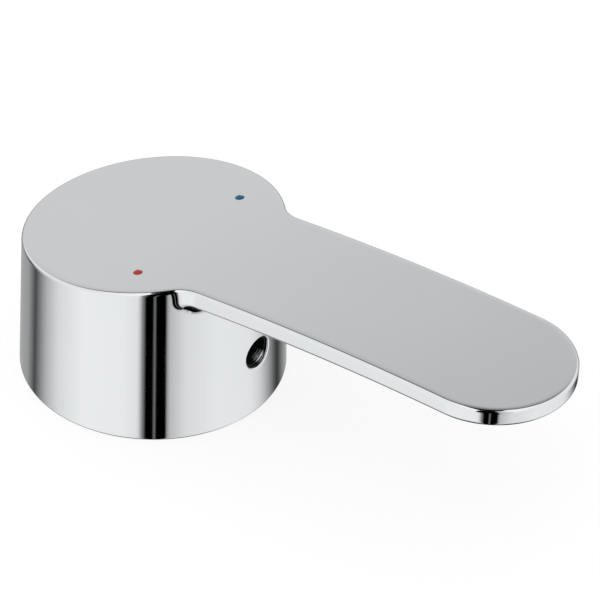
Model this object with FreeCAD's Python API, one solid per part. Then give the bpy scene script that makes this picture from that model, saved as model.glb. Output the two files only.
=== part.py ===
import math
import os

import FreeCAD
import Part
from FreeCAD import Vector

# Lever handle for a single-lever basin mixer, in millimetres and degrees.
# The drum stands on z = 0 with its axis on Z, and the lever runs out along +X.

# drum
drum_radius = 24.0
drum_draft = 1.5
drum_height = 29.73
rim_round = 0.4

# top face: a sloped disc that runs into a gently crowned lever
top_tilt = 8.7
flat_reach = 5.2
crown_radius = 500.0
edge_round = 0.7

# lever
lever_half_width = 14.3
lever_tip_centre = 72.5
lever_root_thickness = 3.55
lever_tip_thickness = 3.2
neck_round = 7.5
underside_round = 3.0
lower_edge_round = 0.8

# hollow skirt, its mouth turned to go over the mixer's cap
mouth_radius = 21.5
mouth_depth = 5.0
mouth_bevel = 0.4
hollow_radius = 21.0
hollow_draft = 1.0
roof_round = 1.5

# clamping screw
screw_height = 12.5
screw_radius = 3.0
screw_length = 8.0
screw_clearance = 0.05
screw_back_off = 0.3
screw_point_bevel = 0.6
screw_head_bevel = 0.3
screw_cup_radius = 1.5
screw_cup_depth = 0.6
key_width = 3.0
key_depth = 3.5
screw_wall = 2.15
hole_edge_round = 0.3

# boss for the cartridge stem
boss_radius = 7.6
boss_draft = 1.0
boss_root_round = 1.0
boss_foot_margin = 0.3
stem_width = 8.0
stem_clearance = 0.1
socket_corner = 0.8
socket_top = 21.0
socket_lead_in = 0.6
web_thickness = 2.2
web_foot = 15.0

# hot and cold marks let into the top
mark_radius = 0.8
mark_gap = 0.02
mark_depth = 0.6
mark_crown = 0.06
mark_reach = 8.0
mark_aside = 14.2

hair = 0.01
beyond = 3 * drum_radius
tall = 2 * drum_height
crown_reach = lever_tip_centre + lever_half_width
socket_width = stem_width + stem_clearance
hole_radius = screw_radius + screw_clearance
screw_boss_radius = hole_radius + screw_wall
boss_foot = screw_height - screw_boss_radius - boss_root_round - boss_foot_margin

tilt = math.radians(top_tilt)
along = Vector(math.cos(tilt), 0, math.sin(tilt))
outward = Vector(-math.sin(tilt), 0, math.cos(tilt))
top_point = Vector(0, 0, drum_height)
crown_start = top_point + along * flat_reach
crown_centre = crown_start - outward * crown_radius


def on_crown(reach, depth):
    # point in side view, a distance along the crown and a depth under it
    angle = math.pi / 2 + tilt - reach / crown_radius
    return crown_centre + Vector(math.cos(angle), 0, math.sin(angle)) * (crown_radius - depth)


def contour(root_depth, tip_depth):
    # side view of a surface that lies under the top face
    start = top_point - along * beyond - outward * root_depth
    bend = crown_start - outward * root_depth
    middle = on_crown(crown_reach / 2, (root_depth + tip_depth) / 2)
    end = on_crown(crown_reach, tip_depth)
    return [Part.makeLine(start, bend), Part.Arc(bend, middle, end).toShape()]


def slab(upper, lower):
    starts = [edges[0].Vertexes[0].Point for edges in (upper, lower)]
    ends = [edges[-1].Vertexes[-1].Point for edges in (upper, lower)]
    outline = Part.sortEdges(upper + lower + [Part.makeLine(*starts), Part.makeLine(*ends)])[0]
    face = Part.Face(Part.Wire(outline))
    face.translate(Vector(0, -beyond, 0))
    return face.extrude(Vector(0, 2 * beyond, 0))


def tapered(radius, draft, foot, height):
    # round column that narrows upwards, its seam line at the back, away from the lever and the screw
    narrowed = radius - height * math.tan(math.radians(draft))
    column = Part.makeCone(radius, narrowed, height, Vector(0, 0, foot))
    column.rotate(Vector(), Vector(0, 0, 1), 180)
    return column


def depth_at(point):
    # how far a point lies under the top face
    if point.x < crown_start.x:
        return (top_point - point).dot(outward)
    return crown_radius - Vector(point.x, 0, point.z).distanceToPoint(crown_centre)


def off_column(point, radius, draft, foot):
    # how far a point lies outside a tapered column
    return math.hypot(point.x, point.y) - radius + (point.z - foot) * math.tan(math.radians(draft))


def edges_where(shape, test):
    return [edge for edge in shape.Edges if all(test(point) for point in edge.discretize(7))]


def blended(shape, rounds):
    # edges rounded in one go, each with the sizes at its two ends
    numbers = {edge.hashCode(): number for number, edge in enumerate(shape.Edges, 1)}
    sheet = FreeCAD.newDocument("rounds")
    base = sheet.addObject("Part::Feature", "base")
    base.Shape = shape
    fillet = sheet.addObject("Part::Fillet", "fillet")
    fillet.Base = base
    fillet.Edges = [(numbers[edge.hashCode()], first, last) for edge, first, last in rounds]
    sheet.recompute()
    result = fillet.Shape.Solids[0].copy()
    FreeCAD.closeDocument(sheet.Name)
    return result


def lever_outline():
    # plan of the lever, from the drum axis to its full-round tip
    side = lever_half_width
    near = Vector(lever_tip_centre, -side, 0)
    far = Vector(lever_tip_centre, side, 0)
    return Part.Wire([
        Part.makeLine(Vector(0, -side, 0), near),
        Part.Arc(near, Vector(lever_tip_centre + side, 0, 0), far).toShape(),
        Part.makeLine(far, Vector(0, side, 0)),
        Part.makeLine(Vector(0, side, 0), Vector(0, -side, 0)),
    ])


top_contour = contour(0, 0)
under_contour = contour(lever_root_thickness, lever_tip_thickness)
ground = [Part.makeLine(Vector(-2 * beyond, 0, -5), Vector(2 * beyond, 0, -5))]


def rounded_lever():
    # lever as it lies on the drum, its lower edge rounded all the way to the tip
    plate = slab(top_contour, under_contour)
    lever = Part.Face(lever_outline()).extrude(Vector(0, 0, tall)).common(plate)
    lower = edges_where(lever, lambda point: depth_at(point) > lever_tip_thickness / 2)
    lower = [edge for edge in lower if edge.BoundBox.XLength > hair]
    return lever.makeFillet(lower_edge_round, lower)


def outer_body():
    # drum and lever as one body, every outside edge rounded
    drum = tapered(drum_radius, drum_draft, 0, tall).common(slab(top_contour, ground))
    body = drum.fuse(rounded_lever()).removeSplitter().Solids[0]

    def at_seam(point):
        on_wall = abs(off_column(point, drum_radius, drum_draft, 0)) < hair
        under_lever = point.x > 0 and abs(point.y) < lever_half_width + hair
        return on_wall and under_lever and depth_at(point) < 2 * lever_root_thickness

    def seam_rounds(edge):
        # the round opens out up the neck, from the underside's size to its own at the top
        ends = (edge.Vertexes[0].Point, edge.Vertexes[-1].Point)
        return [neck_round if depth_at(point) < hair else underside_round for point in ends]

    seam = [edge for edge in edges_where(body, at_seam) if depth_at(edge.CenterOfMass) > hair]
    body = blended(body, [(edge, *seam_rounds(edge)) for edge in seam])
    upper = edges_where(body, lambda point: abs(depth_at(point)) < hair)
    upper = [edge for edge in upper if edge.BoundBox.XLength > hair]
    rim = edges_where(body, lambda point: point.z < hair)
    rounds = [(edge, edge_round, edge_round) for edge in upper]
    rounds += [(edge, rim_round, rim_round) for edge in rim]
    return blended(body, rounds)


def core():
    # the hollow under the top, as the mould's core leaves it
    hollow = tapered(hollow_radius, hollow_draft, 0, tall).common(slab(under_contour, ground))
    roof = edges_where(hollow, lambda point: point.z > mouth_depth)
    roof = [edge for edge in roof if edge.BoundBox.XLength > hair]
    hollow = hollow.makeFillet(roof_round, roof)
    boss = tapered(boss_radius, -boss_draft, boss_foot, tall)
    web = Part.makeBox(web_thickness, 2 * beyond, tall, Vector(-web_thickness / 2, -beyond, web_foot))
    tunnel = Part.makeCylinder(screw_boss_radius, beyond, Vector(0, 0, screw_height), Vector(1, 0, 0))
    wall = Part.makeBox(beyond, 2 * screw_boss_radius, tall, Vector(0, -screw_boss_radius, screw_height))
    island = boss.multiFuse([web, tunnel, wall]).removeSplitter().Solids[0]

    def on_boss(point):
        return abs(off_column(point, boss_radius, -boss_draft, boss_foot)) < hair

    roots = []
    for edge in edges_where(island, on_boss):
        reach = edge.BoundBox
        if reach.ZLength > boss_root_round and reach.YMin * reach.YMax > 0:
            roots.append(edge)
    island = island.makeFillet(boss_root_round, roots)
    return hollow.cut(island)


def square_at(width, height):
    half = width / 2
    corners = [Vector(x, y, height) for x, y in ((-half, -half), (half, -half), (half, half), (-half, half))]
    return Part.makePolygon(corners + corners[:1])


def stem_socket():
    # square hole for the stem, with a lead-in at its mouth
    column = Part.Face(square_at(socket_width, boss_foot)).extrude(Vector(0, 0, socket_top - boss_foot))
    upright = [edge for edge in column.Edges if edge.BoundBox.ZLength > 1]
    column = column.makeFillet(socket_corner, upright)
    wide = square_at(socket_width + 2 * socket_lead_in, boss_foot)
    narrow = square_at(socket_width, boss_foot + socket_lead_in)
    return column.fuse(Part.makeLoft([wide, narrow], True, True))


def mark_place(side):
    # a spot on the top face, turned square to the face
    point = on_crown(mark_reach - flat_reach, 0)
    upright = (point - crown_centre).normalize()
    point.y = side * mark_aside
    return FreeCAD.Placement(point, FreeCAD.Rotation(Vector(0, 0, 1), upright))


def lever_handle():
    body = outer_body().cut(core())
    mouth = Part.makeCylinder(mouth_radius, mouth_depth)
    bevel = tapered(mouth_radius + mouth_bevel, 45, 0, mouth_bevel)
    hole = Part.makeCylinder(hole_radius, beyond, Vector(0, 0, screw_height), Vector(1, 0, 0))
    body = body.cut(mouth).cut(bevel).cut(stem_socket()).cut(hole).Solids[0]

    def at_hole_mouth(point):
        off_hole = math.hypot(point.y, point.z - screw_height) - hole_radius
        off_wall = off_column(point, drum_radius, drum_draft, 0)
        return abs(off_hole) < hair and abs(off_wall) < hair

    body = body.makeFillet(hole_edge_round, edges_where(body, at_hole_mouth))
    for side in (-1, 1):
        recess = Part.makeCylinder(mark_radius + mark_gap, 2 * mark_depth, Vector(0, 0, -mark_depth))
        recess.Placement = mark_place(side).multiply(recess.Placement)
        body = body.cut(recess)
    return body.Solids[0]


def mark(side):
    # low dome of colour, level with the top face at its edge
    disc = Part.makeCylinder(mark_radius, 2 * mark_depth, Vector(0, 0, -mark_depth))
    dome_radius = (mark_radius ** 2 + mark_crown ** 2) / (2 * mark_crown)
    dome = Part.makeSphere(dome_radius, Vector(0, 0, mark_crown - dome_radius))
    disc = disc.common(dome).Solids[0]
    disc.Placement = mark_place(side).multiply(disc.Placement)
    return disc


def set_screw():
    # hexagon-socket screw with a cup point, the point towards the stem
    point = socket_width / 2 + screw_back_off
    head = point + screw_length
    section = Part.makePolygon([
        Vector(point + screw_cup_depth, 0, 0),
        Vector(point, 0, screw_cup_radius),
        Vector(point, 0, screw_radius - screw_point_bevel),
        Vector(point + screw_point_bevel, 0, screw_radius),
        Vector(head - screw_head_bevel, 0, screw_radius),
        Vector(head, 0, screw_radius - screw_head_bevel),
        Vector(head, 0, 0),
        Vector(point + screw_cup_depth, 0, 0),
    ])
    screw = Part.Face(section).revolve(Vector(), Vector(1, 0, 0), 360)
    corner = key_width / math.sqrt(3)
    turns = [math.radians(60 * i) for i in range(7)]
    hexagon = Part.makePolygon([Vector(head, corner * math.cos(t), corner * math.sin(t)) for t in turns])
    screw = screw.cut(Part.Face(hexagon).extrude(Vector(-key_depth, 0, 0)))
    screw.translate(Vector(0, 0, screw_height))
    return screw


nodes = {
    "lever_handle": lever_handle(),
    "set_screw": set_screw(),
    "hot_mark": mark(-1),
    "cold_mark": mark(1),
}
os.makedirs("parts", exist_ok=True)
for name, shape in nodes.items():
    print(name, "valid" if shape.isValid() else "not valid", round(shape.Volume, 2), "mm3")
    shape.exportStep("parts/" + name + ".step")
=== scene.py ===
import math

import bpy
from mathutils import Matrix, Vector
from mathutils.geometry import delaunay_2d_cdt


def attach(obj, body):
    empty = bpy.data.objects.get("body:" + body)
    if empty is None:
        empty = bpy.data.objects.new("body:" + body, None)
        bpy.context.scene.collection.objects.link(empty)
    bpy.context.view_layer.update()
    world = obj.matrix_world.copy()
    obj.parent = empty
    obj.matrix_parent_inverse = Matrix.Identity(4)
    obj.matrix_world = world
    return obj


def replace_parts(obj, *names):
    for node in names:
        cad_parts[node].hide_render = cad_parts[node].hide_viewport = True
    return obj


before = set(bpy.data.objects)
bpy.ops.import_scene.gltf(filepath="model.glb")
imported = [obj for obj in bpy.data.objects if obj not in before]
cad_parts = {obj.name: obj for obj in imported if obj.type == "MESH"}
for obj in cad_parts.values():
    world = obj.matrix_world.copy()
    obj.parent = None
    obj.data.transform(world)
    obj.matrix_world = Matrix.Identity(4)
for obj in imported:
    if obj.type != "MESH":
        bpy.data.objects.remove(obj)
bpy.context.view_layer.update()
mm = 0.001
print("frame loaded:", ", ".join(sorted(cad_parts)))


def toLinear(hexColour):
    # sRGB hex to the linear colour that the shaders take
    channels = [int(hexColour[i:i + 2], 16) / 255 for i in (1, 3, 5)]
    linear = [c / 12.92 if c <= 0.04045 else ((c + 0.055) / 1.055) ** 2.4 for c in channels]
    return (*linear, 1.0)


def addNode(tree, kind, settings=None, values=None, links=None):
    node = tree.nodes.new(kind)
    for name, value in (settings or {}).items():
        setattr(node, name, value)
    for name, value in (values or {}).items():
        node.inputs[name].default_value = value
    for name, source in (links or {}).items():
        tree.links.new(source, node.inputs[name])
    return node


def newMaterial(name):
    material = bpy.data.materials.new(name)
    material.use_nodes = True
    material.node_tree.nodes.clear()
    return material, material.node_tree


def perMetre(millimetres):
    # texture scale that repeats once in this many millimetres
    return 1000.0 / millimetres


# Bright chrome over polished zinc: the buffed blank leaves a faint slow ripple in the mirror,
# and handling leaves patches that are a little less sharp.
def makeChrome():
    material, tree = newMaterial("brightChromePlate")
    where = addNode(tree, "ShaderNodeTexCoord")
    tone = addNode(tree, "ShaderNodeTexNoise", values={"Scale": perMetre(18), "Detail": 3.0},
                   links={"Vector": where.outputs["Object"]})
    tint = addNode(tree, "ShaderNodeValToRGB", links={"Fac": tone.outputs["Fac"]})
    tint.color_ramp.elements[0].color = toLinear("#E4E7E9")
    tint.color_ramp.elements[1].color = toLinear("#E8EAEB")
    haze = addNode(tree, "ShaderNodeTexNoise", values={"Scale": perMetre(9), "Detail": 5.0},
                   links={"Vector": where.outputs["Object"]})
    rough = addNode(tree, "ShaderNodeMapRange", links={"Value": haze.outputs["Fac"]},
                    values={"From Min": 0.3, "From Max": 0.7, "To Min": 0.03, "To Max": 0.06})
    ripple = addNode(tree, "ShaderNodeTexNoise", values={"Scale": perMetre(6), "Detail": 1.0},
                     links={"Vector": where.outputs["Object"]})
    wave = addNode(tree, "ShaderNodeBump", values={"Strength": 1.0, "Distance": 0.0000004},
                   links={"Height": ripple.outputs["Fac"]})
    skin = addNode(tree, "ShaderNodeBsdfPrincipled", values={"Metallic": 1.0},
                   links={"Base Color": tint.outputs["Color"], "Roughness": rough.outputs["Result"],
                          "Normal": wave.outputs["Normal"]})
    addNode(tree, "ShaderNodeOutputMaterial", links={"Surface": skin.outputs["BSDF"]})
    return material


# Zinc die-casting as it leaves the mould, with a thin flash of plate: grey, matt, slightly pocked.
def makeCastZinc():
    material, tree = newMaterial("dieCastZinc")
    where = addNode(tree, "ShaderNodeTexCoord")
    grain = addNode(tree, "ShaderNodeTexNoise", values={"Scale": perMetre(1.2), "Detail": 4.0},
                    links={"Vector": where.outputs["Object"]})
    cloud = addNode(tree, "ShaderNodeTexNoise", values={"Scale": perMetre(11), "Detail": 3.0},
                    links={"Vector": where.outputs["Object"]})
    tint = addNode(tree, "ShaderNodeValToRGB", links={"Fac": cloud.outputs["Fac"]})
    tint.color_ramp.elements[0].position = 0.3
    tint.color_ramp.elements[0].color = toLinear("#9A9C9E")
    tint.color_ramp.elements[1].position = 0.7
    tint.color_ramp.elements[1].color = toLinear("#B4B6B7")
    rough = addNode(tree, "ShaderNodeMapRange", links={"Value": cloud.outputs["Fac"]},
                    values={"From Min": 0.3, "From Max": 0.7, "To Min": 0.34, "To Max": 0.48})
    pits = addNode(tree, "ShaderNodeBump", values={"Strength": 0.5, "Distance": 0.00004},
                   links={"Height": grain.outputs["Fac"]})
    skin = addNode(tree, "ShaderNodeBsdfPrincipled", values={"Metallic": 1.0},
                   links={"Base Color": tint.outputs["Color"], "Roughness": rough.outputs["Result"],
                          "Normal": pits.outputs["Normal"]})
    addNode(tree, "ShaderNodeOutputMaterial", links={"Surface": skin.outputs["BSDF"]})
    return material


# Tapped zinc, its colour darkened as painted shade of the deep hole: thin glints on the crests, the rest lost
# in the hole. A painted glint lightens the last turns on the lower far side. Millimetres.
paintedGlintPatch = {"centre": Vector((22.6, 1.8, 10.1)), "glintFull": 0.4, "reach": 1.5}


def makeThreadWithPaintedShade():
    material, tree = newMaterial("tappedZincPaintedShadeAndGlint")
    where = addNode(tree, "ShaderNodeTexCoord")
    paintedShadeMottle = addNode(tree, "ShaderNodeTexNoise", values={"Scale": perMetre(1.5), "Detail": 4.0},
                    links={"Vector": where.outputs["Object"]})
    # painted shade: the thread's colour is kept near black to stand for the shade deep inside the hole
    tint = addNode(tree, "ShaderNodeValToRGB", links={"Fac": paintedShadeMottle.outputs["Fac"]})
    tint.color_ramp.elements[0].color = toLinear("#151617")
    tint.color_ramp.elements[1].color = toLinear("#262728")
    # painted glint: round this point the colour is lifted towards light grey, full within glintFull and gone
    # by reach
    apart = addNode(tree, "ShaderNodeVectorMath", settings={"operation": "DISTANCE"},
                    values={1: paintedGlintPatch["centre"] * mm}, links={0: where.outputs["Object"]})
    glintMask = addNode(tree, "ShaderNodeMapRange", settings={"interpolation_type": "SMOOTHSTEP"},
                    links={"Value": apart.outputs["Value"]},
                    values={"From Min": paintedGlintPatch["glintFull"] * mm, "From Max": paintedGlintPatch["reach"] * mm,
                            "To Min": 1.0, "To Max": 0.0})
    # painted glint mixed into the dark painted shade
    bright = addNode(tree, "ShaderNodeMix", settings={"data_type": "RGBA"}, values={7: toLinear("#C9CACB")},
                     links={0: glintMask.outputs["Result"], 6: tint.outputs["Color"]})
    skin = addNode(tree, "ShaderNodeBsdfPrincipled", values={"Metallic": 1.0, "Roughness": 0.22},
                   links={"Base Color": bright.outputs[2]})
    addNode(tree, "ShaderNodeOutputMaterial", links={"Surface": skin.outputs["BSDF"]})
    return material


# Turned stainless steel: fine rings round the screw's own axis, which lies along X at this height.
screwHeight = 12.5


def makeTurnedSteel():
    material, tree = newMaterial("turnedStainlessSteel")
    where = addNode(tree, "ShaderNodeTexCoord")
    centre = addNode(tree, "ShaderNodeMapping", links={"Vector": where.outputs["Object"]},
                     values={"Location": (0.0, 0.0, -screwHeight * mm)})
    # tool marks are about 0.05 mm apart and are drawn at 0.3 mm so that they show
    rings = addNode(tree, "ShaderNodeTexWave", settings={"wave_type": "RINGS", "rings_direction": "X"},
                    values={"Scale": perMetre(0.3) / 20, "Distortion": 0.4},
                    links={"Vector": centre.outputs["Vector"]})
    tint = addNode(tree, "ShaderNodeValToRGB", links={"Fac": rings.outputs["Fac"]})
    tint.color_ramp.elements[0].color = toLinear("#A5A6A8")
    tint.color_ramp.elements[1].color = toLinear("#B8B9BB")
    cut = addNode(tree, "ShaderNodeBump", values={"Strength": 0.3, "Distance": 0.00001},
                  links={"Height": rings.outputs["Fac"]})
    skin = addNode(tree, "ShaderNodeBsdfPrincipled", values={"Metallic": 1.0, "Roughness": 0.28},
                   links={"Base Color": tint.outputs["Color"], "Normal": cut.outputs["Normal"]})
    addNode(tree, "ShaderNodeOutputMaterial", links={"Surface": skin.outputs["BSDF"]})
    return material


# Stoved enamel run into a recess: even colour with a soft gloss and a faint orange peel.
def makeEnamel(name, deep, bright):
    material, tree = newMaterial(name)
    where = addNode(tree, "ShaderNodeTexCoord")
    pigment = addNode(tree, "ShaderNodeTexNoise", values={"Scale": perMetre(0.5), "Detail": 3.0},
                      links={"Vector": where.outputs["Object"]})
    tint = addNode(tree, "ShaderNodeValToRGB", links={"Fac": pigment.outputs["Fac"]})
    tint.color_ramp.elements[0].color = toLinear(deep)
    tint.color_ramp.elements[1].color = toLinear(bright)
    peel = addNode(tree, "ShaderNodeBump", values={"Strength": 0.3, "Distance": 0.000004},
                   links={"Height": pigment.outputs["Fac"]})
    # weak reflection, as the buffed fill is a little dull
    skin = addNode(tree, "ShaderNodeBsdfPrincipled",
                   values={"IOR": 1.5, "Specular IOR Level": 0.2, "Roughness": 0.22},
                   links={"Base Color": tint.outputs["Color"], "Normal": peel.outputs["Normal"]})
    addNode(tree, "ShaderNodeOutputMaterial", links={"Surface": skin.outputs["BSDF"]})
    return material


chrome = makeChrome()
castZinc = makeCastZinc()
threadShadeAndGlint = makeThreadWithPaintedShade()
turnedSteel = makeTurnedSteel()
redEnamel = makeEnamel("redStovedEnamel", "#8E2627", "#A83232")
blueEnamel = makeEnamel("blueStovedEnamel", "#084562", "#105A78")
print("materials ready")


# Outside of the handle, in millimetres. The neck is a little fuller than the solid's and the upper edge
# a little sharper, as the photograph has them.
handle = {
    "drumRadius": 24.0, "drumDraft": 1.5, "drumHeight": 29.73, "rimRound": 0.4, "mouthEdge": 21.9,
    "topTilt": 8.7, "flatReach": 5.2, "crownRadius": 500.0, "edgeRound": 0.6,
    "halfWidth": 14.3, "tipCentre": 72.5, "rootThickness": 3.55, "tipThickness": 3.2, "lowerRound": 0.8,
    "undersideRound": 3.0, "neckRound": 6.6, "neckFoot": 5.6, "neckHead": 33.4,
    "holeHeight": screwHeight, "holeRadius": 3.05, "holeRound": 0.3,
    "markRadius": 0.8, "markGap": 0.02, "markReach": 8.0, "markAside": 14.2, "markLip": 0.08,
    "markWall": 0.3,
    "plate": 0.05,  # drawn thicker than the real 0.02, so that it clears the solid's facets
}
tilt = math.radians(handle["topTilt"])
draft = math.radians(handle["drumDraft"])
crownStart = Vector((handle["flatReach"] * math.cos(tilt), 0,
                     handle["drumHeight"] + handle["flatReach"] * math.sin(tilt)))
crownCentre = crownStart - Vector((-math.sin(tilt), 0, math.cos(tilt))) * handle["crownRadius"]


def onCrown(reach, depth):
    angle = math.pi / 2 + tilt - reach / handle["crownRadius"]
    return crownCentre + Vector((math.cos(angle), 0, math.sin(angle))) * (handle["crownRadius"] - depth)


def circleThrough(a, b, c):
    # centre and radius in side view
    ax, az, bx, bz = a.x - c.x, a.z - c.z, b.x - c.x, b.z - c.z
    area = 2 * (ax * bz - az * bx)
    x = (bz * (ax * ax + az * az) - az * (bx * bx + bz * bz)) / area
    z = (ax * (bx * bx + bz * bz) - bx * (ax * ax + az * az)) / area
    return Vector((c.x + x, 0, c.z + z)), math.hypot(x, z)


crownEnd = handle["tipCentre"] + handle["halfWidth"]
underCentre, underRadius = circleThrough(
    onCrown(0, handle["rootThickness"]),
    onCrown(crownEnd / 2, (handle["rootThickness"] + handle["tipThickness"]) / 2),
    onCrown(crownEnd, handle["tipThickness"]))


def topHeight(x, depth):
    if x < crownStart.x + depth * math.sin(tilt):
        return handle["drumHeight"] - depth / math.cos(tilt) + x * math.tan(tilt)
    return crownCentre.z + math.sqrt((handle["crownRadius"] - depth) ** 2 - (x - crownCentre.x) ** 2)


def topNormal(x, depth):
    if x < crownStart.x + depth * math.sin(tilt):
        return Vector((-math.sin(tilt), 0, math.cos(tilt)))
    return Vector((x - crownCentre.x, 0, topHeight(x, depth) - crownCentre.z)).normalized()


def underHeight(x, rise):
    return underCentre.z + math.sqrt((underRadius + rise) ** 2 - (x - underCentre.x) ** 2)


def underUp(x, rise):
    return Vector((x - underCentre.x, 0, underHeight(x, rise) - underCentre.z)).normalized()


def drumAt(z):
    return handle["drumRadius"] - z * math.tan(draft)


def drumOut(angle):
    return Vector((math.cos(angle) * math.cos(draft), math.sin(angle) * math.cos(draft), math.sin(draft)))


def turned(a, b, share):
    # direction part of the way from a to b
    angle = a.angle(b, 0.0)
    if angle < 1e-6:
        return a.copy()
    return (a * math.sin((1 - share) * angle) + b * math.sin(share * angle)) / math.sin(angle)


def besideDrum(y, z, size):
    # x of a ball that touches the drum from outside
    return math.sqrt((drumAt(z) + size / math.cos(draft)) ** 2 - y * y)


def eased(share):
    share = min(1.0, max(0.0, share))
    return share * share * (3 - 2 * share)


def cornerBall(share):
    # ball that rolls round the lever's lower edge while it touches the drum
    edge = handle["lowerRound"]
    # half way round the lower edge it is down to the underside's size
    size = handle["neckFoot"] + (handle["undersideRound"] - handle["neckFoot"]) * eased(2 * share)
    x = handle["drumRadius"]
    for _ in range(40):
        towards = turned(Vector((0, 1, 0)), -underUp(x, edge), share)
        centre = Vector((x, handle["halfWidth"] - edge, underHeight(x, edge))) + towards * (size + edge)
        x += besideDrum(centre.y, centre.z, size) - centre.x
    return centre, -drumOut(math.atan2(centre.y, centre.x)), -towards, size


neckFootZ = cornerBall(0.0)[0].z
cornerEnd = cornerBall(1.0)[0]
beadLimit = math.atan2(cornerEnd.y, cornerEnd.x)


# Ball that rolls along the seam between drum and lever: down the neck to 1, round the lever's lower edge
# to 2, along the underside to 3. Gives its centre, the ways to the drum and the lever, and its size.
def seamBall(way):
    if way < 1:
        rise = 1 - way
        size = handle["neckFoot"] + (handle["neckRound"] - handle["neckFoot"]) * eased(rise)
        y, z = handle["halfWidth"] + size, neckFootZ + (handle["neckHead"] - neckFootZ) * rise
        x = besideDrum(y, z, size)
        return Vector((x, y, z)), -drumOut(math.atan2(y, x)), Vector((0, -1, 0)), size
    if way < 2:
        return cornerBall(way - 1)
    angle = beadLimit * (3 - way)
    size = handle["undersideRound"]
    z = underHeight(handle["drumRadius"], -size)
    for _ in range(12):
        radius = drumAt(z) + size / math.cos(draft)
        z = underHeight(radius * math.cos(angle), -size)
    centre = Vector((radius * math.cos(angle), radius * math.sin(angle), z))
    return centre, -drumOut(angle), underUp(centre.x, -size), size


def seamSpot(way, share):
    # point and outward direction on the blend, from the drum to the lever
    def onBall(way, share):
        centre, toDrum, toLever, size = seamBall(way)
        return centre + turned(toDrum, toLever, share) * size

    centre, toDrum, toLever, _ = seamBall(way)
    if share in (0.0, 1.0):
        return onBall(way, share), -(toLever if share else toDrum)
    acrossStep, alongStep = 0.005, 0.003
    across = onBall(way, share + acrossStep) - onBall(way, share - acrossStep)
    along = onBall(way + alongStep, share) - onBall(way - alongStep, share)
    out = across.cross(along).normalized()
    spot = onBall(way, share)
    return spot, out if out.dot(centre - spot) > 0 else -out


def wayDown(z):
    return (handle["neckHead"] - z) / (handle["neckHead"] - neckFootZ)


mirror = Vector((1, -1, 1))


def wallSpot(station, z):
    # point and outward direction on the upright walls
    part, share, side = station
    start = seamBall(wayDown(z))[0]
    if part == "drum":
        meet = math.atan2(start.y, start.x)
        out = drumOut(meet + share * (math.pi - meet))
        point = Vector((out.x, out.y, 0)).normalized() * drumAt(z) + Vector((0, 0, z))
    elif part == "neck":
        point, out = seamSpot(wayDown(z), share)
    elif part == "side":
        point = Vector((start.x + share * (handle["tipCentre"] - start.x), handle["halfWidth"], z))
        out = Vector((0, 1, 0))
    else:
        angle = math.pi / 2 * (1 - share)
        out = Vector((math.cos(angle), math.sin(angle), 0))
        point = Vector((handle["tipCentre"], 0, z)) + out * handle["halfWidth"]
    return (point, out) if side > 0 else (point * mirror, out * mirror)


def upperBall(station):
    # ball that rolls inside the upper edge: its centre, the ways to the faces it touches, its wall height
    size = handle["edgeRound"]
    z = handle["drumHeight"]
    for _ in range(25):
        point, out = wallSpot(station, z)
        centre = point - out * size
        z += (topHeight(centre.x, size) - centre.z) * 0.8
    return centre, out, topNormal(centre.x, size), z


def newShell():
    return {"points": [], "normals": [], "faces": [], "seen": {}}


shell = newShell()
cellsPerMm = 400
cellsAround = [Vector((i, j, k)) for i in (0, -1, 1) for j in (0, -1, 1) for k in (0, -1, 1)]


def putPoint(shell, point, normal):
    # points closer than a few micrometres are one point, so that neighbouring patches join
    cells = [tuple(round(c) for c in Vector(point) * cellsPerMm + step) for step in cellsAround]
    for cell in cells:
        if cell in shell["seen"]:
            return shell["seen"][cell]
    shell["seen"][cells[0]] = len(shell["points"])
    shell["points"].append(Vector(point))
    shell["normals"].append(Vector(normal))
    return shell["seen"][cells[0]]


def putFace(shell, corners):
    corners = [c for i, c in enumerate(corners) if c != corners[i - 1]]
    if len(set(corners)) < 3:
        return
    a, b, c = (shell["points"][i] for i in corners[:3])
    facing = (b - a).cross(c - a)
    if len(corners) == 4:
        facing += (c - a).cross(shell["points"][corners[3]] - a)
    if facing.dot(sum((shell["normals"][i] for i in corners), Vector())) < 0:
        corners.reverse()
    shell["faces"].append(corners)


def putGrid(shell, rows, closed=False):
    grid = [[putPoint(shell, *spot) for spot in row] for row in rows]
    for upper, lower in zip(grid, grid[1:]):
        last = len(upper) if closed else len(upper) - 1
        for i in range(last):
            j = (i + 1) % len(upper)
            putFace(shell, [upper[i], upper[j], lower[j], lower[i]])


def insideLoop(spot, loop):
    inside = False
    for (ax, ay), (bx, by) in zip(loop, loop[1:] + loop[:1]):
        if (ay > spot[1]) != (by > spot[1]) and spot[0] < ax + (spot[1] - ay) * (bx - ax) / (by - ay):
            inside = not inside
    return inside


def putSheet(shell, loops, inner, lift):
    # triangles between loops drawn flat, the first one outermost, lifted on to their surface
    flat, edges = [], []
    for loop in loops:
        start = len(flat)
        flat += [Vector(spot) for spot in loop]
        edges += [(start + i, start + (i + 1) % len(loop)) for i in range(len(loop))]
    flat += [Vector(spot) for spot in inner]
    spots, _, faces, *_ = delaunay_2d_cdt(flat, edges, [], 0, 1e-7)
    numbers = [putPoint(shell, *lift(*spot)) for spot in spots]
    for face in faces:
        middle = sum((spots[i] for i in face), Vector((0, 0))) / len(face)
        if insideLoop(middle, loops[0]) and not any(insideLoop(middle, hole) for hole in loops[1:]):
            putFace(shell, [numbers[i] for i in face])


def gridInside(loops, stepU, stepV, margin):
    # spots of a regular grid that keep clear of every loop
    us = [spot[0] for spot in loops[0]]
    vs = [spot[1] for spot in loops[0]]
    edgeSpots = [Vector(spot) for loop in loops for spot in loop]
    kept = []
    for i in range(1, int((max(us) - min(us)) / stepU) + 1):
        for j in range(1, int((max(vs) - min(vs)) / stepV) + 1):
            spot = Vector((min(us) + i * stepU, min(vs) + j * stepV))
            if not insideLoop(spot, loops[0]) or any(insideLoop(spot, hole) for hole in loops[1:]):
                continue
            if min((spot - edge).length_squared for edge in edgeSpots) > margin * margin:
                kept.append(spot)
    return kept


plate = handle["plate"]
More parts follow.
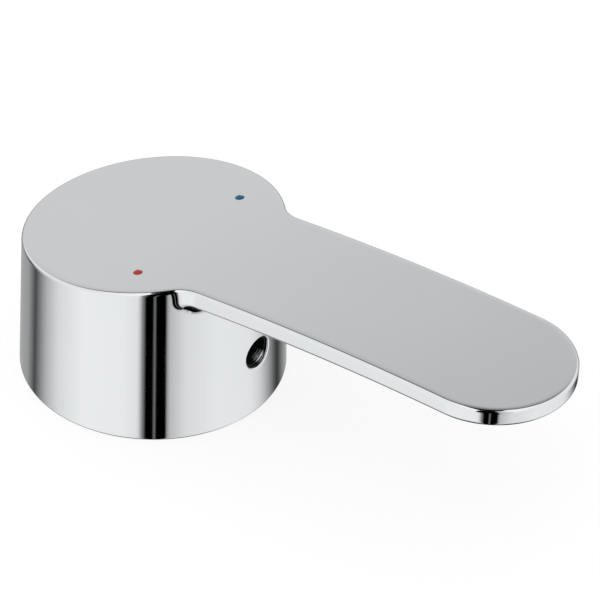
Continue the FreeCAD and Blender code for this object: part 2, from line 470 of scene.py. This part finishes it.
# how finely each part of the skin is divided
steps = {"drum": 92, "neck": 24, "side": 26, "tip": 40, "upper": 10, "buffed": 6, "wall": 14, "corner": 20,
         "bead": 30, "markTurn": 40, "markLip": 4, "holeTurn": 96, "holeRound": 6, "rimTurn": 240,
         "rimRound": 5, "back": 10}
# inner points of the larger faces: steps both ways and clearance from the edges, in millimetres
spacing = {"top": (1.6, 1.6, 0.8), "under": (2.0, 2.0, 1.0), "drum": (0.62, 2.0, 0.5)}


def sharesOf(part):
    return [i / steps[part] for i in range(steps[part] + 1)]


farNeck = [("neck", share, 1) for share in sharesOf("neck")]
farLever = [(part, share, 1) for part in ("side", "tip") for share in sharesOf(part)[1:]]
nearLever = [(part, share, -1) for part, share, _ in reversed(farLever)][1:]
nearNeck = [(part, share, -1) for part, share, _ in reversed(farNeck)]
farDrum = [("drum", share, 1) for share in sharesOf("drum")[1:]]
nearDrum = [("drum", share, -1) for share in sharesOf("drum")[1:]]
lever = farLever + nearLever

# upper edge round, and the top face inside it
outline = farNeck + lever + nearNeck + nearDrum + list(reversed(farDrum))[1:]
upper = {station: upperBall(station) for station in outline + farDrum[-1:]}
edgeSize = handle["edgeRound"] + plate


# buffing rolls the top face off towards its edge, in millimetres and degrees
buffed = {"width": 0.8, "slope": 6.0}
buffedSlope = math.radians(buffed["slope"])
buffedDrop = buffed["width"] * buffedSlope / 2
ballDrop = buffedDrop - edgeSize * (1 - math.cos(buffedSlope))


def outOfTop(station):
    # level direction out of the top face, square to its edge
    _, toWall, toTop, _ = upper[station]
    return (toWall - toTop * toWall.dot(toTop)).normalized()


def upperSpot(station, share):
    centre, toWall, toTop, _ = upper[station]
    edgeNormal = toTop * math.cos(buffedSlope) + outOfTop(station) * math.sin(buffedSlope)
    normal = turned(toWall, edgeNormal, share)
    return centre - Vector((0, 0, ballDrop / toTop.z)) + normal * edgeSize, normal


def liftTop(x, y):
    return Vector((x, y, topHeight(x, -plate))), topNormal(x, -plate)


def buffedSpot(station, share):
    # from the edge round's end at 0 to the flat of the top at 1
    out = outOfTop(station)
    place = upper[station][0] + out * (edgeSize * math.sin(buffedSlope) - buffed["width"] * share)
    spot, up = liftTop(place.x, place.y)
    slope = buffedSlope * (1 - share)
    return spot - up * (buffedDrop * (1 - share) ** 2), up * math.cos(slope) + out * math.sin(slope)


upperRows = [[upperSpot(station, share) for station in outline] for share in sharesOf("upper")]
upperRows += [[buffedSpot(station, share) for station in outline] for share in sharesOf("buffed")[1:]]
putGrid(shell, upperRows, closed=True)


markSpot = onCrown(handle["markReach"] - handle["flatReach"], 0)
markUp = topNormal(markSpot.x, 0)
markAlong = Vector((markUp.z, 0, -markUp.x))


def markOut(angle):
    return markAlong * math.cos(angle) + Vector((0, math.sin(angle), 0))


def markPoint(side, radius, angle, rise):
    centre = markSpot + Vector((0, side * handle["markAside"], 0))
    return centre + markOut(angle) * radius + markUp * rise


turns = [2 * math.pi * i / steps["markTurn"] for i in range(steps["markTurn"])]
lip = handle["markLip"]
bore = handle["markRadius"] + handle["markGap"]
topLoops = [[tuple(spot.xy) for spot, _ in upperRows[-1]]]
for side in (-1, 1):
    rows = []
    for share in sharesOf("markLip"):
        bend = math.pi / 2 * share
        rows.append([])
        for angle in turns:
            rows[-1].append((markPoint(side, bore + lip - lip * math.sin(bend), angle,
                                       plate - lip + lip * math.cos(bend)),
                             markUp * math.cos(bend) - markOut(angle) * math.sin(bend)))
    rows.append([(spot - markUp * handle["markWall"], normal) for spot, normal in rows[-1]])
    putGrid(shell, rows, closed=True)
    topLoops.append([(spot.x, spot.y) for spot, _ in rows[0]])
putSheet(shell, topLoops, gridInside(topLoops, *spacing["top"]), liftTop)
print("top face and upper edge:", len(shell["faces"]), "faces")

# blend along the seam: round the lower edge on one side, along the underside, round the other side
blendRows = []
for way in [1 + share for share in sharesOf("corner")] + [2 + share for share in sharesOf("bead")[1:]]:
    spots = [seamSpot(way, share) for share in sharesOf("neck")]
    blendRows.append([(spot + out * plate, out) for spot, out in spots])


def mirroredRow(row):
    return [(spot * mirror, out * mirror) for spot, out in row]


blendRows += [mirroredRow(row) for row in reversed(blendRows[:-1])]
putGrid(shell, blendRows)

# neck, from the upper edge round down to the blend
neckRows = [[upperSpot(station, 0.0) for station in farNeck]]
for fall in sharesOf("wall")[1:-1]:
    row = []
    for station in farNeck:
        top = upper[station][3]
        spot, out = wallSpot(station, top + (neckFootZ - top) * fall)
        row.append((spot + out * plate, out))
    neckRows.append(row)
neckRows.append(blendRows[0])
putGrid(shell, neckRows)
putGrid(shell, [mirroredRow(row) for row in neckRows])


def lowerSpot(station, share):
    # point and outward direction on the lower edge round
    part, along, side = station
    edge = handle["lowerRound"]
    if part == "side":
        centre, _, toLever, ballSize = cornerBall(share)
        start = (centre + toLever * (ballSize + edge)).x
        out = Vector((0, 1, 0))
        middle = Vector((start + along * (handle["tipCentre"] - start), handle["halfWidth"] - edge, 0))
    else:
        angle = math.pi / 2 * (1 - along)
        out = Vector((math.cos(angle), math.sin(angle), 0))
        middle = Vector((handle["tipCentre"], 0, 0)) + out * (handle["halfWidth"] - edge)
    middle.z = underHeight(middle.x, edge)
    normal = turned(out, -underUp(middle.x, edge), share)
    spot = middle + normal * (edge + plate)
    return (spot, normal) if side > 0 else (spot * mirror, normal * mirror)


# lever sides and tip, then the lower edge round
neckSide = [row[-1] for row in neckRows]
wallColumns = [neckSide]
for station in lever:
    top, foot = upper[station][3], lowerSpot(station, 0.0)
    column = [upperSpot(station, 0.0)]
    for fall in sharesOf("wall")[1:-1]:
        spot, out = wallSpot(station, top + (foot[0].z - top) * fall)
        column.append((spot + out * plate, out))
    wallColumns.append(column + [foot])
wallColumns.append(mirroredRow(neckSide))
putGrid(shell, wallColumns)
lowerRows = []
for row, share in zip(blendRows, sharesOf("corner")):
    lowerRows.append([row[-1]] + [lowerSpot(station, share) for station in lever] + mirroredRow(row[-1:]))
putGrid(shell, lowerRows)


def liftUnder(x, y):
    return Vector((x, y, underHeight(x, -plate))), -underUp(x, -plate)


beadEdge = [row[-1][0] for row in blendRows[steps["corner"]:-steps["corner"]]]
underLoop = [tuple(spot.xy) for spot in beadEdge[::-1] + [spot for spot, _ in lowerRows[-1][1:-1]]]
putSheet(shell, [underLoop], gridInside([underLoop], *spacing["under"]), liftUnder)
print("lever and neck:", len(shell["faces"]), "faces")

# drum wall, drawn unrolled, with the screw hole's mouth in it
unroll = handle["drumRadius"]


def liftDrum(u, v):
    angle = u / unroll
    radius = drumAt(v) + plate / math.cos(draft)
    return Vector((radius * math.cos(angle), radius * math.sin(angle), v)), drumOut(angle)


def unrolled(spot):
    return (math.atan2(spot.y, spot.x) * unroll, spot.z)


rimBall = drumAt(handle["rimRound"]) - handle["rimRound"] / math.cos(draft)
rimTop = handle["rimRound"] + (handle["rimRound"] + plate) * math.sin(draft)
farTop = [unrolled(upperSpot(station, 0.0)[0]) for station in reversed(farDrum)]
farTop[0] = (math.pi * unroll, farTop[0][1])
nearTop = [(-u, v) for u, v in reversed(farTop)]
cuspDown = [unrolled(row[0][0]) for row in neckRows[:-1]]
cuspUp = [(-u, v) for u, v in reversed(cuspDown)]
beadFoot = [unrolled(row[0][0]) for row in blendRows]
foot = [(math.pi * unroll * (2 * share - 1), rimTop) for share in sharesOf("rimTurn")]
backHeights = [rimTop + (farTop[0][1] - rimTop) * share for share in sharesOf("back")[1:-1]]
drumLoop = (foot + [(math.pi * unroll, v) for v in backHeights] + farTop + cuspDown + beadFoot + cuspUp
            + nearTop + [(-math.pi * unroll, v) for v in reversed(backHeights)])

# mouth of the tapped hole: a ball rolls round between the drum and the bore
holeRows = [[] for _ in sharesOf("holeRound")]
reach = handle["holeRadius"] + handle["holeRound"]
for turn in [2 * math.pi * i / steps["holeTurn"] for i in range(steps["holeTurn"])]:
    y, z = reach * math.cos(turn), handle["holeHeight"] + reach * math.sin(turn)
    x = math.sqrt((drumAt(z) - handle["holeRound"] / math.cos(draft)) ** 2 - y * y)
    outward = drumOut(math.atan2(y, x))
    inward = Vector((0, -math.cos(turn), -math.sin(turn)))
    for row, share in zip(holeRows, sharesOf("holeRound")):
        normal = turned(outward, inward, share)
        row.append((Vector((x, y, z)) + normal * (handle["holeRound"] + plate), normal))
putGrid(shell, holeRows, closed=True)
holeLoop = [unrolled(spot) for spot, _ in holeRows[0]]
putSheet(shell, [drumLoop, holeLoop], gridInside([drumLoop, holeLoop], *spacing["drum"]), liftDrum)

# bottom rim: small round, then the flat ring that the loose handle stands on
rimRows = [[] for _ in sharesOf("rimRound")]
for u, _ in foot[:-1]:
    angle = u / unroll
    centre = Vector((rimBall * math.cos(angle), rimBall * math.sin(angle), handle["rimRound"]))
    for row, share in zip(rimRows, sharesOf("rimRound")):
        normal = turned(drumOut(angle), Vector((0, 0, -1)), share)
        row.append((centre + normal * (handle["rimRound"] + plate), normal))
inner = handle["mouthEdge"]
rimRows.append([(Vector((inner * math.cos(u / unroll), inner * math.sin(u / unroll), -plate)),
                 Vector((0, 0, -1))) for u, _ in foot[:-1]])
putGrid(shell, rimRows, closed=True)


def makePiece(name, shell, material):
    mesh = bpy.data.meshes.new(name)
    mesh.from_pydata([tuple(point * mm) for point in shell["points"]], [], shell["faces"])
    mesh.polygons.foreach_set("use_smooth", [True] * len(mesh.polygons))
    mesh.normals_split_custom_set_from_vertices([tuple(normal.normalized()) for normal in shell["normals"]])
    mesh.materials.append(material)
    piece = bpy.data.objects.new(name, mesh)
    bpy.context.scene.collection.objects.link(piece)
    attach(piece, "root")
    return piece


makePiece("chrome_plating", shell, chrome)
print("plating:", len(shell["points"]), "points,", len(shell["faces"]), "faces")


# Thread of the tapped hole, M6 fine: 0.5 mm pitch, cut away at the mouth. A crest above 1 is flat on top,
# and the flank is how fast it falls away.
thread = {"pitch": 0.5, "inner": 2.75, "outer": 3.02, "start": 12.5, "end": 23.3, "crest": 1.25, "flank": 3.2,
          "perTurn": 72, "perPitch": 8}


def threadRadius(x, turn):
    phase = (x / thread["pitch"] - turn / (2 * math.pi)) % 1.0
    ridge = min(1.0, max(0.0, thread["crest"] - thread["flank"] * abs(phase - 0.5)))
    fade = min(1.0, max(0.0, (thread["end"] - x) / thread["pitch"]))
    return thread["outer"] - (thread["outer"] - thread["inner"]) * ridge * fade


tapped = newShell()
threadRows = []
nearby = 0.02
for i in range(int((thread["end"] - thread["start"]) / thread["pitch"] * thread["perPitch"]) + 1):
    x = thread["start"] + i * thread["pitch"] / thread["perPitch"]
    threadRows.append([])
    for j in range(thread["perTurn"]):
        turn = 2 * math.pi * j / thread["perTurn"]
        radius = threadRadius(x, turn)
        slope = (threadRadius(x + nearby, turn) - threadRadius(x - nearby, turn)) / (2 * nearby)
        outward = Vector((0, math.cos(turn), math.sin(turn)))
        threadRows[-1].append((Vector((x, 0, handle["holeHeight"])) + outward * radius,
                               (Vector((slope, 0, 0)) - outward).normalized()))
putGrid(tapped, threadRows, closed=True)
makePiece("tapped_thread", tapped, threadShadeAndGlint)


# Enamel spots: a low dome that wets the wall of its recess
enamel = {"rise": 0.07, "edgeSink": 0.05, "depth": 0.5, "rings": 8}
for name, side, material, slot in (("hot", -1, redEnamel, "red_enamel"),
                                   ("cold", 1, blueEnamel, "blue_enamel")):
    spot = newShell()
    rows = []
    for k in range(enamel["rings"] + 1):
        part = 1 - k / enamel["rings"]
        height = plate + enamel["rise"] - (enamel["rise"] + enamel["edgeSink"]) * part ** 2
        steep = 2 * (enamel["rise"] + enamel["edgeSink"]) * part / handle["markRadius"]
        rows.append([])
        for angle in turns:
            rows[-1].append((markPoint(side, handle["markRadius"] * part, angle, height),
                             (markUp + markOut(angle) * steep).normalized()))
    sunk = [(place - markUp * enamel["depth"], markOut(angle)) for (place, _), angle in zip(rows[0], turns)]
    middle = (markPoint(side, 0, 0, -enamel["depth"]), -markUp)
    putGrid(spot, rows, closed=True)
    putGrid(spot, [rows[0], sunk, [middle] * len(turns)], closed=True)
    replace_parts(makePiece(name + "_enamel", spot, material), name + "_mark")
print("thread and enamel spots done")

for name, material in (("lever_handle", castZinc), ("set_screw", turnedSteel)):
    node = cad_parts[name]
    if not node.material_slots:
        node.data.materials.append(material)
    for holder in node.material_slots:
        holder.material = material


# Photograph's viewpoint: a long lens, turned a little about its own axis
camera = {"target": (0.03232, 0.0, 0.02849), "azimuth": -0.93951, "elevation": 0.65662, "distance": 0.672,
          "roll": 0.03654, "lens": 234.28}
back = Vector((math.cos(camera["elevation"]) * math.cos(camera["azimuth"]),
               math.cos(camera["elevation"]) * math.sin(camera["azimuth"]), math.sin(camera["elevation"])))
level = (-back).cross(Vector((0, 0, 1))).normalized()
upright = level.cross(-back)
right = level * math.cos(camera["roll"]) + upright * math.sin(camera["roll"])
above = upright * math.cos(camera["roll"]) - level * math.sin(camera["roll"])
lens = bpy.data.cameras.new("photoCamera")
lens.lens = camera["lens"]
lens.sensor_width = 36.0
lens.clip_start = 0.01
eye = bpy.data.objects.new("photoCamera", lens)
bpy.context.scene.collection.objects.link(eye)
eye.matrix_world = Matrix.LocRotScale(Vector(camera["target"]) + back * camera["distance"],
                                      Matrix((right, above, back)).transposed(), None)
bpy.context.scene.camera = eye


# Studio as the chrome sees it. Degrees run round from the camera, and over the top from the camera's
# side to the far side. Greys below 1 are the tent's shaded cloth, and 1 is its white. The stand's dark
# foot lies straight down, by how steeply one looks down.
studio = {
    "round": [(-180, 0.48), (-135, 0.36), (-120, 0.07), (-113, 0.22), (-101, 0.54), (-86, 0.84), (-60, 1.02),
              (-25, 1.0), (0, 0.85), (30, 0.85), (60, 0.97), (100, 0.93), (120, 0.80), (150, 0.45),
              (180, 0.48)],
    "over": [(0, 1.0), (55, 1.1), (100, 1.1), (108, 0.2), (128, 0.2), (136, 0.55), (141, 0.585), (146, 0.645),
             (155, 0.72), (180, 0.74)],
    "sides": 0.96, "sideFrom": 0.35, "sideTo": 0.75, "riseFrom": -0.10, "riseTo": 0.30,
    "below": [(-1.0, 0.0), (-0.945, 0.0), (-0.92, 0.25), (-0.88, 0.55), (-0.80, 0.74), (-0.68, 1.0)],
}


def fillRamp(ramp, stops, low, high):
    ramp.elements.remove(ramp.elements[1])
    for i, (at, brightness) in enumerate(stops):
        place = (at - low) / (high - low)
        stop = ramp.elements[0] if i == 0 else ramp.elements.new(place)
        stop.position = place
        stop.color = (brightness, brightness, brightness, 1.0)


def roundTheDrum(tree, where, stops):
    # grey by degrees round from the camera
    faced = addNode(tree, "ShaderNodeVectorRotate", settings={"rotation_type": "Z_AXIS"},
                    values={"Angle": -camera["azimuth"]}, links={"Vector": where})
    split = addNode(tree, "ShaderNodeSeparateXYZ", links={"Vector": faced.outputs["Vector"]})
    angle = addNode(tree, "ShaderNodeMath", settings={"operation": "ARCTAN2"},
                    links={0: split.outputs["Y"], 1: split.outputs["X"]})
    low, high = stops[0][0], stops[-1][0]
    place = addNode(tree, "ShaderNodeMapRange", links={"Value": angle.outputs[0]},
                    values={"From Min": math.radians(low), "From Max": math.radians(high)})
    grey = addNode(tree, "ShaderNodeValToRGB", links={"Fac": place.outputs["Result"]})
    fillRamp(grey.color_ramp, stops, low, high)
    return grey, split


world = bpy.data.worlds.new("studioTent")
bpy.context.scene.world = world
world.use_nodes = True
tree = world.node_tree
tree.nodes.clear()
where = addNode(tree, "ShaderNodeTexCoord")
walls, split = roundTheDrum(tree, where.outputs["Generated"], studio["round"])
overAngle = addNode(tree, "ShaderNodeMath", settings={"operation": "ARCTAN2"},
                    links={0: split.outputs["Z"], 1: split.outputs["X"]})
overPlace = addNode(tree, "ShaderNodeMapRange", links={"Value": overAngle.outputs[0]},
                    values={"From Min": 0.0, "From Max": math.pi})
over = addNode(tree, "ShaderNodeValToRGB", links={"Fac": overPlace.outputs["Result"]})
fillRamp(over.color_ramp, studio["over"], 0, 180)
aside = addNode(tree, "ShaderNodeMath", settings={"operation": "ABSOLUTE"}, links={0: split.outputs["Y"]})
sideways = addNode(tree, "ShaderNodeMapRange", settings={"interpolation_type": "SMOOTHSTEP"},
                   links={"Value": aside.outputs[0]},
                   values={"From Min": studio["sideFrom"], "From Max": studio["sideTo"]})
roof = addNode(tree, "ShaderNodeMix", settings={"data_type": "RGBA"},
               values={7: (studio["sides"], studio["sides"], studio["sides"], 1.0)},
               links={0: sideways.outputs["Result"], 6: over.outputs["Color"]})
rise = addNode(tree, "ShaderNodeMapRange", settings={"interpolation_type": "SMOOTHSTEP"},
               links={"Value": split.outputs["Z"]},
               values={"From Min": studio["riseFrom"], "From Max": studio["riseTo"]})
tent = addNode(tree, "ShaderNodeMix", settings={"data_type": "RGBA"},
               links={0: rise.outputs["Result"], 6: walls.outputs["Color"], 7: roof.outputs[2]})
belowPlace = addNode(tree, "ShaderNodeMapRange", links={"Value": split.outputs["Z"]},
                     values={"From Min": studio["below"][0][0], "From Max": studio["below"][-1][0]})
below = addNode(tree, "ShaderNodeValToRGB", links={"Fac": belowPlace.outputs["Result"]})
fillRamp(below.color_ramp, studio["below"], studio["below"][0][0], studio["below"][-1][0])
stand = addNode(tree, "ShaderNodeMix", settings={"data_type": "RGBA", "blend_type": "MULTIPLY"},
                values={0: 1.0}, links={6: below.outputs["Color"], 7: tent.outputs[2]})
path = addNode(tree, "ShaderNodeLightPath")
mirrored = addNode(tree, "ShaderNodeMix", settings={"data_type": "RGBA"}, values={6: (1.0, 1.0, 1.0, 1.0)},
                   links={0: path.outputs["Is Glossy Ray"], 7: stand.outputs[2]})
sky = addNode(tree, "ShaderNodeBackground", values={"Strength": 1.0}, links={"Color": mirrored.outputs[2]})
addNode(tree, "ShaderNodeOutputWorld", links={"Surface": sky.outputs["Background"]})

# Curved cards that only the mirror sees: a pair of black flags under the camera with a chink between
# them, a flag above them, and a dark upright past the lever's far side. Metres, and degrees from the camera.
cards = {
    "camera_flags": {"reach": 0.56, "low": -1.4, "high": 2.5,
                     "greys": [(-11, 0.92), (-9, 0.75), (-6.5, 0.3), (-3.5, 0.0), (2.2, 0.0), (3.8, 0.19),
                               (5.4, 0.0), (12.8, 0.0), (14.8, 0.42), (17, 0.6), (30, 0.85)]},
    "upper_flag": {"reach": 0.5, "low": 0.0, "high": 1.3,
                   "greys": [(-12, 0.9), (-10.5, 0.0), (12.8, 0.0), (14.8, 0.42)]},
    "far_upright": {"reach": 0.26, "low": -0.45, "high": -0.04,
                    "greys": [(90, 0.935), (97, 0.85), (103, 0.74), (113, 0.46), (125, 0.13), (131, 0.045),
                              (137, 0.10), (144, 0.235), (152, 0.33), (160, 0.39)]},
}
cardSteps = 24


def hangCard(name, points, faces, material):
    # only the mirror sees it
    mesh = bpy.data.meshes.new(name)
    mesh.from_pydata(points, [], faces)
    mesh.materials.append(material)
    card = bpy.data.objects.new(name, mesh)
    for ray in ("camera", "diffuse", "transmission", "volume_scatter", "shadow"):
        setattr(card, "visible_" + ray, False)
    bpy.context.scene.collection.objects.link(card)


for name, card in cards.items():
    first, last = card["greys"][0][0], card["greys"][-1][0]
    points = []
    for i in range(cardSteps + 1):
        angle = camera["azimuth"] + math.radians(first + (last - first) * i / cardSteps)
        for z in (card["low"], card["high"]):
            points.append((card["reach"] * math.cos(angle), card["reach"] * math.sin(angle), z))
    material, tree = newMaterial(name + "Cloth")
    where = addNode(tree, "ShaderNodeTexCoord")
    grey, _ = roundTheDrum(tree, where.outputs["Object"], card["greys"])
    cloth = addNode(tree, "ShaderNodeEmission", values={"Strength": 1.0},
                    links={"Color": grey.outputs["Color"]})
    addNode(tree, "ShaderNodeOutputMaterial", links={"Surface": cloth.outputs["Emission"]})
    hangCard(name, points, [(2 * i, 2 * i + 1, 2 * i + 3, 2 * i + 2) for i in range(cardSteps)], material)

# the flags' bar crosses overhead, from the camera's side to the far side
bar = {"height": 1.5, "toCamera": 0.8, "toFar": -0.42, "left": -0.18, "right": 0.18}
material, tree = newMaterial("overhead_barCloth")
cloth = addNode(tree, "ShaderNodeEmission", values={"Color": (0.0, 0.0, 0.0, 1.0)})
addNode(tree, "ShaderNodeOutputMaterial", links={"Surface": cloth.outputs["Emission"]})
facing = Vector((math.cos(camera["azimuth"]), math.sin(camera["azimuth"]), 0))
across = Vector((-facing.y, facing.x, 0))
corners = []
for end, edge in (("toCamera", "left"), ("toCamera", "right"), ("toFar", "right"), ("toFar", "left")):
    corners.append(facing * bar[end] + across * bar[edge] * bar["height"] + Vector((0, 0, bar["height"])))
hangCard("overhead_bar", corners, [(0, 1, 2, 3)], material)

# Pale paper floor: white to the camera, and it keeps a soft shadow
floor = {"size": 6.0, "drop": 0.0001, "shadowShare": 0.22}
material, tree = newMaterial("whitePaperFloor")
where = addNode(tree, "ShaderNodeTexCoord")
fibre = addNode(tree, "ShaderNodeTexNoise", values={"Scale": perMetre(2), "Detail": 3.0},
                links={"Vector": where.outputs["Object"]})
tint = addNode(tree, "ShaderNodeValToRGB", links={"Fac": fibre.outputs["Fac"]})
tint.color_ramp.elements[0].color = toLinear("#FAFAFA")
tint.color_ramp.elements[1].color = toLinear("#FFFFFF")
paper = addNode(tree, "ShaderNodeBsdfDiffuse", links={"Color": tint.outputs["Color"]})
glow = addNode(tree, "ShaderNodeEmission", values={"Color": (1.0, 1.0, 1.0, 1.0), "Strength": 1.0})
path = addNode(tree, "ShaderNodeLightPath")
share = addNode(tree, "ShaderNodeMath", settings={"operation": "MULTIPLY"},
                values={1: 1 - floor["shadowShare"]}, links={0: path.outputs["Is Camera Ray"]})
blend = addNode(tree, "ShaderNodeMixShader", links={0: share.outputs[0], 1: paper.outputs["BSDF"],
                                                    2: glow.outputs["Emission"]})
addNode(tree, "ShaderNodeOutputMaterial", links={"Surface": blend.outputs["Shader"]})
half = floor["size"] / 2
mesh = bpy.data.meshes.new("paper_floor")
mesh.from_pydata([(-half, -half, 0), (half, -half, 0), (half, half, 0), (-half, half, 0)], [], [(0, 1, 2, 3)])
mesh.materials.append(material)
paperFloor = bpy.data.objects.new("paper_floor", mesh)
paperFloor.location.z = -floor["drop"]
paperFloor.visible_glossy = False
bpy.context.scene.collection.objects.link(paperFloor)

# one large soft lamp above and behind the camera's left shoulder
softbox = {"place": (0.15, -0.75, 1.1), "aim": (0.03, 0.0, 0.02), "size": 0.9, "power": 4.0}
lamp = bpy.data.lights.new("softbox", "AREA")
lamp.size = softbox["size"]
lamp.energy = softbox["power"]
softLamp = bpy.data.objects.new("softbox", lamp)
softLamp.location = softbox["place"]
towards = Vector(softbox["aim"]) - Vector(softbox["place"])
softLamp.rotation_euler = towards.to_track_quat("-Z", "Y").to_euler()
softLamp.visible_glossy = False
bpy.context.scene.collection.objects.link(softLamp)

bpy.context.scene.view_settings.view_transform = "Standard"
print("camera, tent and floor ready")
